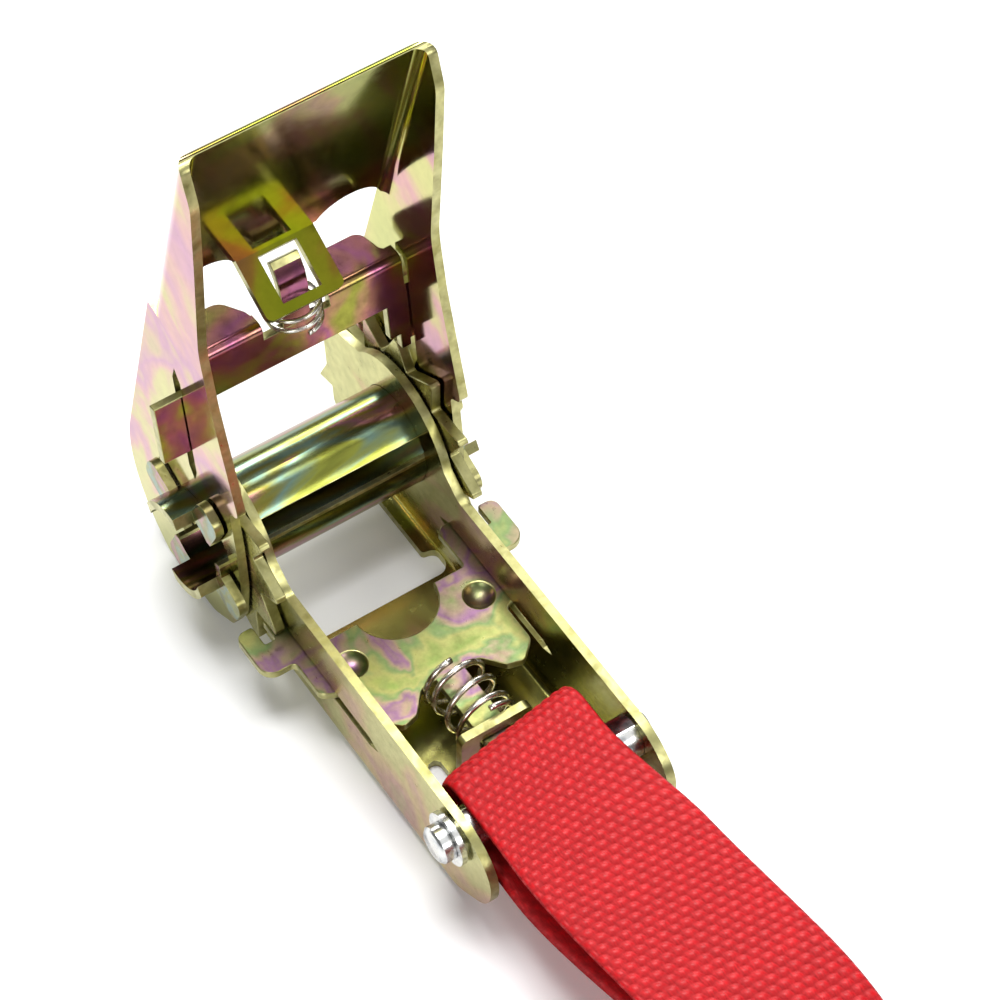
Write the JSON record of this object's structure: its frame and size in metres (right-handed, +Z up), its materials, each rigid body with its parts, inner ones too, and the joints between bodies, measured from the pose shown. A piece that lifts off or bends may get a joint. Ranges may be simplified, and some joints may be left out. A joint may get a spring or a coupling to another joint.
{
  "type": "ratchet tie down",
  "caption": "Ratchet tie-down buckle: a channel frame with a slotted drum, saw-tooth wheels, a swinging lever and sprung pawls, with webbing looped round its pin and rolled up.",
  "frame": {"origin": "on the underside of the frame's base plate, in the middle plane, below the frame pawl", "axes": "+X from the drum towards the strap pin, +Y across from the side of the pin's tip to the other side, +Z up out of the channel"},
  "size_m": [0.2682, 0.0448, 0.0936],
  "materials": {
    "yellow_zinc_steel": "yellow chromate over bright zinc, faintly iridescent",
    "silver_zinc_steel": "bright clear zinc",
    "spring_wire": "bright drawn wire",
    "red_webbing": "woven polyester webbing",
    "red_thread": "sewing thread"
  },
  "bodies": {
    "frame_body": {"frame": "yellow_zinc_steel", "frame_pawl_spring": "spring_wire", "strap_pin": "silver_zinc_steel", "pin_retaining_ring": "silver_zinc_steel", "strap": "red_webbing", "strap_roll": "red_webbing", "strap_stitching": "red_thread"},
    "drum": {"drum_half_upper": "yellow_zinc_steel", "drum_half_lower": "yellow_zinc_steel", "ratchet_wheel_left": "yellow_zinc_steel", "ratchet_wheel_right": "yellow_zinc_steel"},
    "handle_body": {"handle": "yellow_zinc_steel", "handle_pawl_spring": "spring_wire"},
    "handle_pawl_body": {"handle_pawl": "yellow_zinc_steel"},
    "frame_pawl_body": {"frame_pawl": "yellow_zinc_steel"}
  },
  "joints": [
    {"name": "drum_spin", "type": "hinge", "parent": "frame_body", "child": "drum", "pos_m": [-0.022, 0, 0.0168], "axis": [0, 1, 0], "continuous": true},
    {"name": "handle_swing", "type": "hinge", "parent": "frame_body", "child": "handle_body", "pos_m": [-0.022, 0, 0.0168], "axis": [0, 1, 0], "range_deg": [-82, 72]},
    {"name": "handle_pawl_slide", "type": "slide", "parent": "handle_body", "child": "handle_pawl_body", "axis": [-0.1409, 0, 0.99], "range_m": [0, 0.0022], "stiffness_N_per_m": 900, "springref_m": -0.003, "deforming": ["handle_pawl_spring"]},
    {"name": "frame_pawl_slide", "type": "slide", "parent": "frame_body", "child": "frame_pawl_body", "axis": [1, 0, 0], "range_m": [0, 0.0035], "stiffness_N_per_m": 900, "springref_m": -0.003, "deforming": ["frame_pawl_spring"]}
  ]
}
